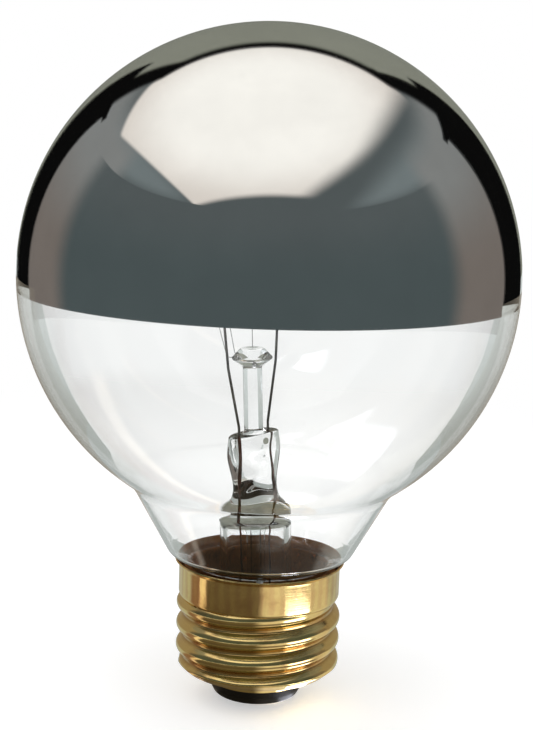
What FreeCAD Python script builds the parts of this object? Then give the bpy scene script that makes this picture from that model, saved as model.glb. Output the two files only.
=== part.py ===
# Silver crown globe lamp with a medium screw base, in millimetres.
# Z is the lamp's axis with the crown at the top, and the origin is at the centre
# of the tip contact's lowest face. The glass stem leans a little towards -X.

import FreeCAD
import Part
import Sketcher
import math
import os
import re

os.makedirs("parts", exist_ok=True)
doc = FreeCAD.newDocument("silver_crown_bulb")

# Driving sizes
SIZES = {
    # tip contact and black glass
    "solder_height": 0.5,
    "solder_radius": 2.2,
    "solder_flat": 1.4,
    "contact_thickness": 0.5,
    "contact_radius": 4.6,
    "contact_chamfer": 0.5,
    "contact_hole": 0.9,
    "insulator_drop": 2.5,
    "insulator_foot": 6.9,
    "insulator_bulge": 0.6,
    "insulator_rise": 1.2,
    "insulator_round": 0.7,
    "insulator_fill": 0.75,
    "lead_hole": 0.8,
    # screw shell
    "shell_wall": 0.25,
    "lip_radius": 7.8,
    "lip_rise": 0.8,
    "lip_round": 0.3,
    "shoulder_rise": 1.45,
    "shoulder_round": 1.2,
    "root_radius": 12.05,
    "thread_length": 11.55,
    "step_rise": 0.9,
    "step_round": 0.6,
    "collar_step": 0.9,
    "collar_height": 5.0,
    "rim_flare": 0.75,
    "rim_rise": 0.7,
    "rim_round": 0.4,
    # rolled thread
    "thread_pitch": 3.629,
    "thread_peak": 1.7,
    "thread_foot": 1.45,
    "thread_width": 3.56,
    "channel_gap": 0.04,
    "channel_sink": 0.03,
    "crest_round": 0.95,
    "root_round": 0.65,
    "thread_turns": 3.6,
    "runout_turns": 0.85,
    "thread_start": 0.2,
    "thread_phase": 90.0,
    "fade_foot": 3.0,
    "fade_head": 1.0,
    "fade_length": 1.9,
    # globe and neck
    "glass_wall": 0.7,
    "globe_diameter": 79.4,
    "globe_gap": 6.5,
    "throat_round": 6.0,
    "hip_flare": 3.8,
    "hip_rise": 1.4,
    "hip_round": 2.0,
    "throat_flare": 4.8,
    "throat_rise": 10.1,
    "neck_clearance": 0.5,
    "neck_dip": 0.5,
    "neck_round": 1.0,
    "neck_depth": 12.9,
    "film_thickness": 0.1,
    "crown_drop": 2.4,
    # cement
    "cement_height": 4.2,
    "cement_dip": 1.2,
    # stem
    "seal_rise": 1.0,
    "stem_lean": 2.9,
    "press_turn": 45.0,
    "tube_radius": 5.85,
    "tube_wall": 1.0,
    "tube_length": 19.6,
    "flare_lip": 1.0,
    "flare_flat": 0.65,
    "rim_bevel": 0.1,
    "dome_drop": 0.6,
    "dome_round": 1.2,
    "waist_width": 8.6,
    "waist_thickness": 6.6,
    "waist_rise": 2.2,
    "pinch_width": 8.2,
    "pinch_thickness": 4.9,
    "pinch_rise": 4.6,
    "press_width": 10.8,
    "press_thickness": 4.4,
    "press_rise": 10.0,
    "press_head": 10.0,
    "press_height": 13.2,
    "press_round": 0.8,
    "rod_radius": 1.55,
    "rod_length": 11.0,
    "button_radius": 3.43,
    "button_height": 2.9,
    "button_belly": 1.3,
    "button_flat": 1.9,
    "button_edge": 0.35,
    "button_round": 0.8,
    "rod_round": 0.6,
    "exhaust_radius": 1.5,
    "exhaust_bore": 0.9,
    "exhaust_tail": 4.6,
    "exhaust_taper": 1.6,
    "exhaust_tip": 0.3,
    # wires
    "lead_spacing": 6.5,
    "seal_wire_diameter": 0.45,
    "lead_diameter": 0.42,
    "lead_straight": 1.4,
    "knee_rise": 11.2,
    "knee_spread": 10.6,
    "lead_spread": 12.6,
    "lead_bend": 3.0,
    "filament_rise": 22.2,
    "coil_diameter": 0.6,
    "hook_height": 0.5,
    "support_diameter": 0.12,
    "support_seat": 1.0,
    "support_reach": 0.6,
    "support_bend": 0.6,
    "support_step": 45.0,
    "outer_diameter": 0.3,
    "outer_bend": 1.2,
    "outer_gap": 0.1,
    "side_drop": 1.3,
    "side_shift": 0.4,
    "side_turn_out": 0.65,
    "side_bend": 0.5,
    "centre_knee": 2.6,
    "centre_drop": 3.0,
    "centre_tip": 0.25,
    "weld_radius": 0.55,
    "weld_inset": 0.2,
    "weld_rise": 0.25,
    # how far a cutting shape reaches past the piece that it cuts
    "cut_margin": 1.0,
}

sheet = doc.addObject("Spreadsheet::Sheet", "sizes")
for row, (alias, value) in enumerate(SIZES.items(), start=1):
    sheet.set(f"A{row}", alias)
    sheet.set(f"B{row}", str(value))
    sheet.setAlias(f"B{row}", alias)
doc.recompute()

# Heights above the tip, worked out from the driving sizes
INSULATOR_FOOT = "solder_height + contact_thickness"
LIP = f"{INSULATOR_FOOT} + insulator_drop"
SHOULDER = f"{LIP} + lip_rise"
THREAD_FOOT = f"{SHOULDER} + shoulder_rise"
THREAD_HEAD = f"{THREAD_FOOT} + thread_length"
COLLAR = f"{THREAD_HEAD} + step_rise"
FLARE = f"{COLLAR} + collar_height"
RIM = f"{FLARE} + rim_rise"
GLOBE = f"{RIM} + globe_gap + globe_diameter / 2"
NECK_TOP = f"{RIM} - neck_dip"
NECK_END = f"{RIM} - neck_depth"
SEAL = f"{NECK_END} + seal_rise"
CEMENT_TOP = f"{RIM} - cement_dip"
THREAD_START = f"{SHOULDER} + thread_start"

# Radii and angles that follow from them
NECK_RADIUS = "root_radius - shell_wall - neck_clearance"
NECK_BORE = f"{NECK_RADIUS} - glass_wall"
HIP_RADIUS = f"{NECK_RADIUS} + hip_flare"
THROAT_RADIUS = f"{HIP_RADIUS} + throat_flare"
COLLAR_RADIUS = "root_radius + collar_step"
RIM_RADIUS = f"{COLLAR_RADIUS} + rim_flare"
FLARE_ROUND = f"{NECK_BORE} - rim_bevel - tube_radius - flare_flat"
INSULATOR_HEAD = "insulator_foot + insulator_bulge"
CREST_LIMIT = "root_radius + thread_peak"
UPRIGHT = "0 deg"
SHOULDER_ANGLE = "atan((root_radius - lip_radius) / shoulder_rise)"
STEP_ANGLE = "atan(collar_step / step_rise)"
RIM_ANGLE = "atan(rim_flare / rim_rise)"
THREAD_ANGLE = "atan(thread_peak / thread_foot)"
CONE_ANGLE = "atan(throat_flare / (throat_rise - hip_rise))"
HIP_ANGLE = "atan(hip_flare / (hip_rise + neck_dip))"

# Heights above the seal, for what stands on the stem
PRESS_TOP = "tube_length + press_height"
BUTTON_FOOT = f"{PRESS_TOP} + rod_length"
BUTTON_MIDDLE = f"{BUTTON_FOOT} + button_height / 2"
FILAMENT = f"{PRESS_TOP} + filament_rise"
BORE_TOP = "tube_length - dome_drop"


def with_sheet(text):
    """The same expression, with the sheet's name before each size."""
    return re.sub(r"\b([a-z]+(?:_[a-z]+)+)\b", r"sizes.\1", text)


def value_of(text):
    """The value of an expression, as a plain number."""
    result = sheet.evalExpression(text)
    return float(getattr(result, "Value", result))


def bind(thing, path, text):
    """Ties a property to an expression on the sizes."""
    thing.setExpression(path, with_sheet(text))


def inset(across, up, first, second, wall):
    """A corner of the inner face, a wall inside a corner of the outer face.

    The two runs that meet there lean outwards by the first and the second angle."""
    share = f"{wall} / cos(({first} - {second}) / 2)"
    return (f"{across} - {share} * cos(({first} + {second}) / 2)",
            f"{up} + {share} * sin(({first} + {second}) / 2)")


def stem_place(thing, turn="press_turn"):
    """Stands a piece on the seal, turned round the stem and leaning with it."""
    bind(thing, "Placement",
         f"placement(vector(0; 0; {SEAL}); rotation(vector(0; 1; 0); -stem_lean)"
         f" * rotation(vector(0; 0; 1); {turn}))")


def new_body(label):
    """An empty body, named for the piece that it becomes."""
    body = doc.addObject("PartDesign::Body", label)
    body.Label = label
    return body


def new_sketch(body, name, role="XZ_Plane", height=None):
    """A sketch on one of the body's own planes, raised to a height if one is given."""
    sketch = body.newObject("Sketcher::SketchObject", f"{body.Name}_{name}")
    plane = [item for item in body.Origin.OriginFeatures if item.Role == role][0]
    sketch.AttachmentSupport = [(plane, "")]
    sketch.MapMode = "FlatFace"
    if height is not None:
        bind(sketch, "AttachmentOffset.Base.z", height)
    return sketch


def relate(sketch, *items):
    """Adds one constraint that has no value of its own."""
    sketch.addConstraint(Sketcher.Constraint(*items))


def measure(sketch, text, *items):
    """Adds one constraint and ties its value to an expression."""
    index = sketch.addConstraint(Sketcher.Constraint(*items, value_of(text)))
    bind(sketch, f"Constraints[{index}]", text)


def pin(sketch, geometry, end, across, up):
    """Holds a point at a distance across and up from the sketch's origin."""
    if across == "0":
        relate(sketch, "PointOnObject", geometry, end, -2)
    else:
        measure(sketch, across, "DistanceX", -1, 1, geometry, end)
    if up == "0":
        relate(sketch, "PointOnObject", geometry, end, -1)
    else:
        measure(sketch, up, "DistanceY", -1, 1, geometry, end)


def rounding(before, corner, after, radius):
    """Start, end and centre of the arc that rounds a corner, and whether it turns left."""
    back = (before - corner).normalize()
    ahead = (after - corner).normalize()
    half_angle = back.getAngle(ahead) / 2
    reach = radius / math.tan(half_angle)
    centre = corner + (back + ahead).normalize() * (radius / math.sin(half_angle))
    turns_left = (corner - before).cross(after - corner).z > 0
    return corner + back * reach, corner + ahead * reach, centre, turns_left


def arc_between(start, end, centre, turns_left):
    """The arc from start to end about a centre; the ends it gives back are in that order."""
    if not turns_left:
        start, end = end, start
    first = math.atan2(start.y - centre.y, start.x - centre.x)
    last = math.atan2(end.y - centre.y, end.x - centre.x)
    if last < first:
        last += 2 * math.pi
    circle = Part.Circle(centre, FreeCAD.Vector(0, 0, 1), (start - centre).Length)
    ends = (1, 2) if turns_left else (2, 1)
    return Part.ArcOfCircle(circle, first, last), ends


def draw(sketch, corners, closed=True, start=None):
    """Draws straight runs from corner to corner, rounding those that have a radius.

    A corner is (across, up) or (across, up, radius), each an expression on the sizes.
    The ends of an open path have no radius. Where a start is given, the path leaves
    from there, and the curve that it continues holds that end."""
    points = [FreeCAD.Vector(value_of(item[0]), value_of(item[1]), 0) for item in corners]
    if start is not None:
        points[0] = start
    count = len(corners)
    enters, leaves, arcs = list(points), list(points), {}
    for index, item in enumerate(corners):
        if len(item) == 3:
            before, after = points[index - 1], points[(index + 1) % count]
            start, end, centre, left = rounding(before, points[index], after, value_of(item[2]))
            enters[index], leaves[index] = start, end
            arcs[index] = arc_between(start, end, centre, left)
    runs = count if closed else count - 1
    lines = [sketch.addGeometry(Part.LineSegment(leaves[index], enters[(index + 1) % count]))
             for index in range(runs)]
    for index, item in enumerate(corners):
        incoming = lines[index - 1] if closed or index > 0 else None
        outgoing = lines[index] if index < runs else None
        if index in arcs:
            shape, (first, last) = arcs[index]
            arc = sketch.addGeometry(shape)
            relate(sketch, "Tangent", incoming, 2, arc, first)
            relate(sketch, "Tangent", arc, last, outgoing, 1)
            measure(sketch, item[2], "Radius", arc)
            mark = sketch.addGeometry(Part.Point(points[index]), True)
            relate(sketch, "PointOnObject", mark, 1, incoming)
            relate(sketch, "PointOnObject", mark, 1, outgoing)
            pin(sketch, mark, 1, item[0], item[1])
        elif outgoing is None:
            pin(sketch, incoming, 2, item[0], item[1])
        else:
            if incoming is not None:
                relate(sketch, "Coincident", incoming, 2, outgoing, 1)
            if index > 0 or start is None:
                pin(sketch, outgoing, 1, item[0], item[1])
    return lines


def revolve(body, name, sketch, kind="Revolution", angle=360):
    """Turns a sketch round the body's Z axis, adding material or cutting it away."""
    feature = body.newObject(f"PartDesign::{kind}", f"{body.Name}_{name}")
    feature.Profile = sketch
    axis = [item for item in body.Origin.OriginFeatures if item.Role == "Z_Axis"][0]
    feature.ReferenceAxis = (axis, [""])
    feature.Angle = angle
    return feature


def turned(label, corners):
    """A body turned from one closed half profile."""
    body = new_body(label)
    sketch = new_sketch(body, "profile")
    draw(sketch, corners)
    revolve(body, "turned", sketch)
    return body


def wire(label, corners, diameter):
    """A round wire along a path in the body's XZ plane, starting upwards or outwards."""
    body = new_body(label)
    path = new_sketch(body, "path")
    draw(path, corners, closed=False)
    starts_upwards = corners[0][0] == corners[1][0]
    if starts_upwards:
        section = new_sketch(body, "section", "XY_Plane", corners[0][1])
        across, up = corners[0][0], "0"
    else:
        section = new_sketch(body, "section", "YZ_Plane", corners[0][0])
        across, up = "0", corners[0][1]
    centre = FreeCAD.Vector(value_of(across), value_of(up), 0)
    circle = sketch_circle(section, centre, diameter)
    pin(section, circle, 3, across, up)
    pipe = body.newObject("PartDesign::AdditivePipe", f"{body.Name}_pipe")
    pipe.Profile = section
    pipe.Spine = (path, [])
    return body


def sketch_circle(sketch, centre, diameter):
    """A circle in a sketch, with its diameter tied to a size."""
    shape = Part.Circle(centre, FreeCAD.Vector(0, 0, 1), value_of(diameter) / 2)
    circle = sketch.addGeometry(shape)
    measure(sketch, diameter, "Diameter", circle)
    return circle


def cut(label, piece, *tools):
    """A piece with the shapes of what passes through it cut away."""
    for index, tool in enumerate(tools):
        result = doc.addObject("Part::Cut", f"{label}_cut_{index + 1}")
        result.Base = piece
        result.Tool = tool
        piece = result
    piece.Label = label
    return piece


# The screw shell: a core and its helical ridge are cut to the run-outs, joined to the
# collar and then hollowed, so the wall follows the thread inside and out
def helix(body, name, sketch, kind, turns):
    """A thread swept up the body's Z axis from one section."""
    feature = body.newObject(f"PartDesign::{kind}", f"{body.Name}_{name}")
    feature.Profile = sketch
    axis = [item for item in body.Origin.OriginFeatures if item.Role == "Z_Axis"][0]
    feature.ReferenceAxis = (axis, [""])
    feature.Mode = "pitch-turns-angle"
    bind(feature, "Pitch", "thread_pitch")
    bind(feature, "Turns", turns)
    return feature


def thread_section(sketch, base, root, peak, foot, width, crest, valley, start):
    """Half sections above and below the crest, from the base radius out to the crest."""
    draw(sketch, [
        (base, f"{start} - {width}"),
        (root, f"{start} - {width}"),
        (root, f"{start} - ({foot})", valley),
        (peak, start, crest),
        (root, f"{start} + ({foot})", valley),
        (root, f"{start} + {width}"),
        (base, f"{start} + {width}"),
    ])


def shell_bore():
    """The inner face of the shell from the lip to the rim, a wall inside the outer face."""
    def corner(across, up, first, second, rounded):
        return (*inset(across, up, first, second, "shell_wall"), rounded)

    return [
        ("lip_radius - shell_wall", LIP),
        corner("lip_radius", SHOULDER, UPRIGHT, SHOULDER_ANGLE, "lip_round + shell_wall"),
        corner("root_radius", THREAD_FOOT, SHOULDER_ANGLE, UPRIGHT, "shoulder_round - shell_wall"),
        corner("root_radius", THREAD_HEAD, UPRIGHT, STEP_ANGLE, "step_round + shell_wall"),
        corner(COLLAR_RADIUS, COLLAR, STEP_ANGLE, UPRIGHT, "step_round - shell_wall"),
        corner(COLLAR_RADIUS, FLARE, UPRIGHT, RIM_ANGLE, "rim_round + shell_wall"),
        (f"{RIM_RADIUS} - shell_wall / cos({RIM_ANGLE})", RIM),
    ]


def make_screw_shell():
    body = new_body("screw_shell")
    core = new_sketch(body, "core")
    draw(core, [("0", LIP), ("root_radius", LIP), ("root_radius", COLLAR), ("0", COLLAR)])
    revolve(body, "blank", core)
    ridge = new_sketch(body, "ridge")
    thread_section(ridge, "root_radius - shell_wall / 2", "root_radius", CREST_LIMIT,
                   "thread_foot", "thread_width / 2", "crest_round", "root_round", THREAD_START)
    helix(body, "thread", ridge, "AdditiveHelix", "thread_turns")
    head = new_sketch(body, "head")
    inside_collar = f"{COLLAR_RADIUS} - shell_wall / 2"
    draw(head, [
        (CREST_LIMIT, f"{THREAD_HEAD} - fade_head"),
        (f"{CREST_LIMIT} + cut_margin", f"{THREAD_HEAD} - fade_head"),
        (f"{CREST_LIMIT} + cut_margin", f"{RIM} + cut_margin"),
        (inside_collar, f"{RIM} + cut_margin"),
        (inside_collar, f"{THREAD_HEAD} - fade_head + fade_length"),
    ])
    revolve(body, "head_cut", head, "Groove")
    collar = new_sketch(body, "collar")
    draw(collar, [
        ("0", f"{THREAD_HEAD} - step_rise"),
        ("root_radius - shell_wall / 2", f"{THREAD_HEAD} - step_rise"),
        ("root_radius - shell_wall / 2", f"{THREAD_HEAD} - shell_wall / 2 / tan({STEP_ANGLE})"),
        (COLLAR_RADIUS, COLLAR, "step_round"),
        (COLLAR_RADIUS, FLARE, "rim_round"),
        (RIM_RADIUS, RIM),
        ("0", RIM),
    ])
    revolve(body, "collar_turned", collar)
    foot = new_sketch(body, "foot")
    draw(foot, [
        ("lip_radius", f"{LIP} - cut_margin"),
        ("lip_radius", SHOULDER, "lip_round"),
        ("root_radius", THREAD_FOOT, "shoulder_round"),
        (CREST_LIMIT, f"{SHOULDER} + fade_foot"),
        (f"{CREST_LIMIT} + cut_margin", f"{SHOULDER} + fade_foot"),
        (f"{CREST_LIMIT} + cut_margin", f"{LIP} - cut_margin"),
    ])
    revolve(body, "foot_cut", foot, "Groove")
    bore = new_sketch(body, "bore")
    inner = shell_bore()
    draw(bore, [
        ("0", f"{LIP} - cut_margin"),
        ("lip_radius - shell_wall", f"{LIP} - cut_margin"),
        *inner[1:],
        (inner[-1][0], f"{RIM} + cut_margin"),
        ("0", f"{RIM} + cut_margin"),
    ])
    revolve(body, "bore_cut", bore, "Groove")
    channel = new_sketch(body, "channel")
    bind(channel, "AttachmentOffset",
         "placement(vector(0; 0; 0); rotation(vector(0; 1; 0); runout_turns * 360))")
    inner_root = "root_radius - shell_wall"
    thread_section(channel, f"{inner_root} - shell_wall", f"{inner_root} - channel_sink",
                   f"{CREST_LIMIT} - shell_wall / cos({THREAD_ANGLE})",
                   f"thread_foot - shell_wall * tan({THREAD_ANGLE} / 2)",
                   "(thread_width - channel_gap) / 2", "crest_round - shell_wall",
                   "root_round + shell_wall",
                   f"{THREAD_START} + runout_turns * thread_pitch")
    helix(body, "channel_cut", channel, "SubtractiveHelix", "thread_turns - 2 * runout_turns")
    bind(body, "Placement", "placement(vector(0; 0; 0); rotation(vector(0; 0; 1); thread_phase))")
    return body


# The glass globe: a sphere, a hollow throat, a cone, a rounded hip and a straight neck
def draw_globe(sketch, wall, foot):
    """The outer face of the glass, or the face that lies a wall inside it."""
    radius_text = f"globe_diameter / 2 - {wall}"
    throat_text = f"throat_round + {wall}"
    upper_text = inset(THROAT_RADIUS, f"{RIM} + throat_rise", CONE_ANGLE, CONE_ANGLE, wall)
    hip_text = inset(HIP_RADIUS, f"{RIM} + hip_rise", HIP_ANGLE, CONE_ANGLE, wall)
    neck_text = inset(NECK_RADIUS, NECK_TOP, UPRIGHT, HIP_ANGLE, wall)
    radius = value_of(radius_text)
    throat = value_of(throat_text)
    centre = FreeCAD.Vector(0, value_of(GLOBE), 0)
    hip = FreeCAD.Vector(*map(value_of, hip_text), 0)
    upper = FreeCAD.Vector(*map(value_of, upper_text), 0)
    along = (upper - hip).normalize()
    outward = FreeCAD.Vector(along.y, -along.x, 0)
    offset = hip + outward * throat - centre
    middle = offset.dot(along)
    travel = -middle - math.sqrt(middle ** 2 - offset.dot(offset) + (radius + throat) ** 2)
    throat_centre = centre + offset + along * travel
    cone_top = throat_centre - outward * throat
    globe_foot = centre + (throat_centre - centre).normalize() * radius
    pole = centre + FreeCAD.Vector(0, radius, 0)

    globe_arc, globe_ends = arc_between(globe_foot, pole, centre, True)
    throat_arc, throat_ends = arc_between(globe_foot, cone_top, throat_centre, True)
    globe = sketch.addGeometry(globe_arc)
    hollow = sketch.addGeometry(throat_arc)
    lines = draw(sketch, [
        upper_text,
        (*hip_text, f"hip_round - {wall}"),
        (*neck_text, f"neck_round + {wall}"),
        (f"{NECK_RADIUS} - {wall}", foot),
        ("0", foot),
    ], closed=False, start=cone_top)
    axis = sketch.addGeometry(Part.LineSegment(FreeCAD.Vector(0, value_of(foot), 0), pole))
    pin(sketch, globe, 3, "0", GLOBE)
    measure(sketch, radius_text, "Radius", globe)
    relate(sketch, "Tangent", globe, globe_ends[0], hollow, throat_ends[0])
    relate(sketch, "Tangent", hollow, throat_ends[1], lines[0], 1)
    measure(sketch, throat_text, "Radius", hollow)
    mark = sketch.addGeometry(Part.Point(upper), True)
    relate(sketch, "PointOnObject", mark, 1, lines[0])
    pin(sketch, mark, 1, *upper_text)
    relate(sketch, "Coincident", lines[-1], 2, axis, 1)
    relate(sketch, "Coincident", axis, 2, globe, globe_ends[1])
    relate(sketch, "PointOnObject", axis, 2, -2)


def make_envelope():
    body = new_body("glass_envelope")
    outer = new_sketch(body, "outer")
    draw_globe(outer, "0", NECK_END)
    revolve(body, "blown", outer)
    inner = new_sketch(body, "inner")
    draw_globe(inner, "glass_wall", f"{NECK_END} - glass_wall")
    revolve(body, "hollow", inner, "Groove")
    return body


# The mirror film on the inside of the globe, from its edge up to the pole
def make_crown():
    body = new_body("silver_crown")
    sketch = new_sketch(body, "profile")
    centre = FreeCAD.Vector(0, value_of(GLOBE), 0)
    drop = value_of("crown_drop")
    arcs = []
    for radius_text in ("globe_diameter / 2 - glass_wall",
                        "globe_diameter / 2 - glass_wall - film_thickness"):
        radius = value_of(radius_text)
        edge = centre + FreeCAD.Vector(math.sqrt(radius ** 2 - drop ** 2), -drop, 0)
        pole = centre + FreeCAD.Vector(0, radius, 0)
        arc = sketch.addGeometry(arc_between(edge, pole, centre, True)[0])
        pin(sketch, arc, 3, "0", GLOBE)
        measure(sketch, radius_text, "Radius", arc)
        relate(sketch, "PointOnObject", arc, 2, -2)
        measure(sketch, f"{GLOBE} - crown_drop", "DistanceY", -1, 1, arc, 1)
        arcs.append((arc, edge, pole))
    for end in (1, 2):
        line = sketch.addGeometry(Part.LineSegment(arcs[0][end], arcs[1][end]))
        relate(sketch, "Coincident", arcs[0][0], end, line, 1)
        relate(sketch, "Coincident", arcs[1][0], end, line, 2)
    revolve(body, "coated", sketch)
    return body


# The stem: a flared tube, drawn in and flattened into the press, with a bore up to it
def ellipse(name, width, thickness, height):
    """One level section of the press."""
    section = doc.addObject("Part::Ellipse", name)
    bind(section, "MajorRadius", f"{width} / 2")
    bind(section, "MinorRadius", f"{thickness} / 2")
    bind(section, "Placement.Base.z", height)
    return section


def make_stem(seal_wires):
    tube = turned("stem_tube", [
        ("0", "tube_length"),
        ("tube_radius", "tube_length"),
        ("tube_radius", "flare_lip / 2", FLARE_ROUND),
        (f"{NECK_BORE} - rim_bevel", "flare_lip / 2"),
        (NECK_BORE, "0"),
        (f"{NECK_BORE} - rim_bevel", "-flare_lip / 2"),
        ("0", "-flare_lip / 2"),
    ])
    stem_place(tube)
    press = doc.addObject("Part::Loft", "stem_press")
    press.Sections = [
        ellipse("press_foot", "(2 * tube_radius)", "(2 * tube_radius)", "tube_length"),
        ellipse("press_waist", "waist_width", "waist_thickness", "tube_length + waist_rise"),
        ellipse("press_pinch", "pinch_width", "pinch_thickness", "tube_length + pinch_rise"),
        ellipse("press_belly", "press_width", "press_thickness", "tube_length + press_rise"),
        ellipse("press_head", "press_head", "press_thickness", PRESS_TOP),
    ]
    press.Solid = True
    doc.recompute()
    rounded = doc.addObject("Part::Fillet", "press_rounded")
    rounded.Base = press
    radius = value_of("press_round")
    rounded.Edges = [(index, radius, radius) for index, edge in enumerate(press.Shape.Edges, 1)
                     if edge.BoundBox.ZMin > value_of(PRESS_TOP) - radius / 10]
    stem_place(rounded)
    joined = doc.addObject("Part::Fuse", "stem_joined")
    joined.Base = tube
    joined.Tool = rounded
    bore = turned("stem_bore", [
        ("0", BORE_TOP),
        ("tube_radius - tube_wall", BORE_TOP, "dome_round"),
        ("tube_radius - tube_wall", "-flare_lip / 2", f"{FLARE_ROUND} + tube_wall"),
        (f"{NECK_BORE} - rim_bevel", "-flare_lip / 2"),
        (f"{NECK_BORE} - rim_bevel", "-flare_lip"),
        ("0", "-flare_lip"),
    ])
    stem_place(bore)
    return cut("stem_flare", joined, bore, *seal_wires)


def make_exhaust_tube():
    tube = turned("exhaust_tube", [
        ("exhaust_bore", BORE_TOP),
        ("exhaust_radius", BORE_TOP),
        ("exhaust_radius", "exhaust_taper - exhaust_tail"),
        ("exhaust_tip", "-exhaust_tail"),
        ("0", "-exhaust_tail"),
        ("0", "exhaust_taper / 2 - exhaust_tail"),
        ("exhaust_bore", "exhaust_taper - exhaust_tail"),
    ])
    stem_place(tube)
    return tube


def make_support_rod(supports):
    rod = turned("rod_blank", [
        ("0", PRESS_TOP),
        ("rod_radius", PRESS_TOP),
        ("rod_radius", BUTTON_FOOT, "rod_round"),
        ("button_radius", f"{BUTTON_FOOT} + button_belly", "button_edge"),
        ("button_flat", f"{BUTTON_FOOT} + button_height", "button_round"),
        ("0", f"{BUTTON_FOOT} + button_height"),
    ])
    stem_place(rod)
    return cut("support_rod", rod, *supports)


# The supports, and the two sides of the stem: half a turn apart round it
SUPPORT_COUNT = 3
SIDES = {"right": "press_turn", "left": "press_turn + 180"}


def make_seal_wire(side):
    body = wire(f"seal_wire_{side}", [
        ("lead_spacing / 2", BORE_TOP),
        ("lead_spacing / 2", PRESS_TOP),
    ], "seal_wire_diameter")
    stem_place(body, SIDES[side])
    return body


def make_inner_lead(side):
    body = wire(f"inner_lead_{side}", [
        ("lead_spacing / 2", PRESS_TOP),
        ("lead_spacing / 2", f"{PRESS_TOP} + lead_straight", "lead_bend"),
        ("knee_spread / 2", f"{PRESS_TOP} + knee_rise", "lead_bend"),
        ("lead_spread / 2", f"{FILAMENT} + hook_height"),
    ], "lead_diameter")
    stem_place(body, SIDES[side])
    return body


def make_coil():
    """The coil's outer shape, half a turn round the stem from lead to lead."""
    body = new_body("coil")
    sketch = new_sketch(body, "section")
    centre = FreeCAD.Vector(value_of("lead_spread / 2"), value_of(FILAMENT), 0)
    circle = sketch_circle(sketch, centre, "coil_diameter")
    pin(sketch, circle, 3, "lead_spread / 2", FILAMENT)
    revolve(body, "arc", sketch, angle=180)
    stem_place(body)
    return body


def make_support_wire(number):
    body = wire(f"support_{number}_blank", [
        ("button_radius - support_seat", BUTTON_MIDDLE),
        ("button_radius + support_reach", BUTTON_MIDDLE, "support_bend"),
        ("lead_spread / 2", FILAMENT),
    ], "support_diameter")
    stem_place(body, f"press_turn + {number} * support_step")
    return body


# The outer leads run down the tube, one to the rim and one to the tip
def on_stem(reach, turn, height):
    """A point round the stem, measured from the seal."""
    return FreeCAD.Vector(reach * math.cos(turn), reach * math.sin(turn), height)


def on_lamp_axis(height):
    """A point of the lamp's own axis, as the leaning stem sees it."""
    lean = math.radians(value_of("stem_lean"))
    rise = height - value_of(SEAL)
    return FreeCAD.Vector(rise * math.sin(lean), 0, rise * math.cos(lean))


def routed_wire(label, points, bends, diameter):
    """A wire through points in space, with one bend radius for each inner point."""
    edges = []
    start = points[0]
    for index, radius in enumerate(bends, start=1):
        corner = points[index]
        back = (points[index - 1] - corner).normalize()
        ahead = (points[index + 1] - corner).normalize()
        half_angle = back.getAngle(ahead) / 2
        reach = radius / math.tan(half_angle)
        centre = corner + (back + ahead).normalize() * (radius / math.sin(half_angle))
        middle = centre + (corner - centre).normalize() * radius
        enter, leave = corner + back * reach, corner + ahead * reach
        edges.append(Part.makeLine(start, enter))
        edges.append(Part.Arc(enter, middle, leave).toShape())
        start = leave
    edges.append(Part.makeLine(start, points[-1]))
    section = Part.Wire(Part.makeCircle(diameter / 2, points[0], points[1] - points[0]))
    thing = doc.addObject("Part::Feature", label)
    thing.Label = label
    thing.Shape = Part.Wire(edges).makePipeShell([section], True, True)
    stem_place(thing, "0")
    return thing


def make_outer_leads():
    half = value_of("lead_spacing / 2")
    turn = math.radians(value_of("press_turn"))
    diameter = value_of("outer_diameter")
    top = value_of(BORE_TOP)
    low = -value_of("seal_rise + side_drop")
    gap_radius = value_of(f"{NECK_RADIUS} + outer_gap + outer_diameter / 2")
    rim = value_of(RIM) - value_of(SEAL)
    shift = value_of("side_shift")
    side = routed_wire("outer_lead_side", [
        on_stem(-half, turn, top),
        on_stem(-half, turn, low),
        FreeCAD.Vector(shift, -gap_radius, low),
        FreeCAD.Vector(shift, -gap_radius, rim - value_of("side_turn_out")),
        FreeCAD.Vector(shift, value_of(f"weld_inset - ({RIM_RADIUS})"),
                       rim + value_of("weld_rise")),
    ], [value_of("outer_bend"), value_of("outer_bend"), value_of("side_bend")], diameter)
    bend = value_of("outer_bend")
    knee = -value_of("centre_knee")
    drop = knee - value_of("centre_drop")
    centre = routed_wire("outer_lead_centre", [
        on_stem(half, turn, top),
        on_stem(half, turn, knee),
        on_lamp_axis(value_of(SEAL) + drop),
        on_lamp_axis(value_of("centre_tip")),
    ], [bend, bend], diameter)
    return side, centre


# The foot of the lamp: black glass, the contact and its solder
def make_insulator():
    inner = shell_bore()
    fill = f"{inner[2][1]} + insulator_fill"
    return turned("base_insulator", [
        ("lead_hole", INSULATOR_FOOT),
        ("insulator_foot", INSULATOR_FOOT, "insulator_round"),
        (INSULATOR_HEAD, f"{INSULATOR_FOOT} + insulator_rise", "insulator_round"),
        (INSULATOR_HEAD, LIP),
        ("lip_radius - shell_wall", LIP),
        inner[1],
        inner[2],
        ("root_radius - shell_wall", fill),
        ("lead_hole", fill),
    ])


def make_contact_plate():
    return turned("contact_plate", [
        ("contact_hole", "solder_height"),
        ("contact_radius - contact_chamfer", "solder_height"),
        ("contact_radius", INSULATOR_FOOT),
        ("contact_hole", INSULATOR_FOOT),
    ])


def make_tip_solder(centre_lead):
    blank = turned("solder_blank", [
        ("0", "0"),
        ("solder_flat", "0"),
        ("solder_radius", "solder_height"),
        ("contact_hole", "solder_height"),
        ("contact_hole", INSULATOR_FOOT),
        ("0", INSULATOR_FOOT),
    ])
    return cut("tip_solder", blank, centre_lead)


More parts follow.
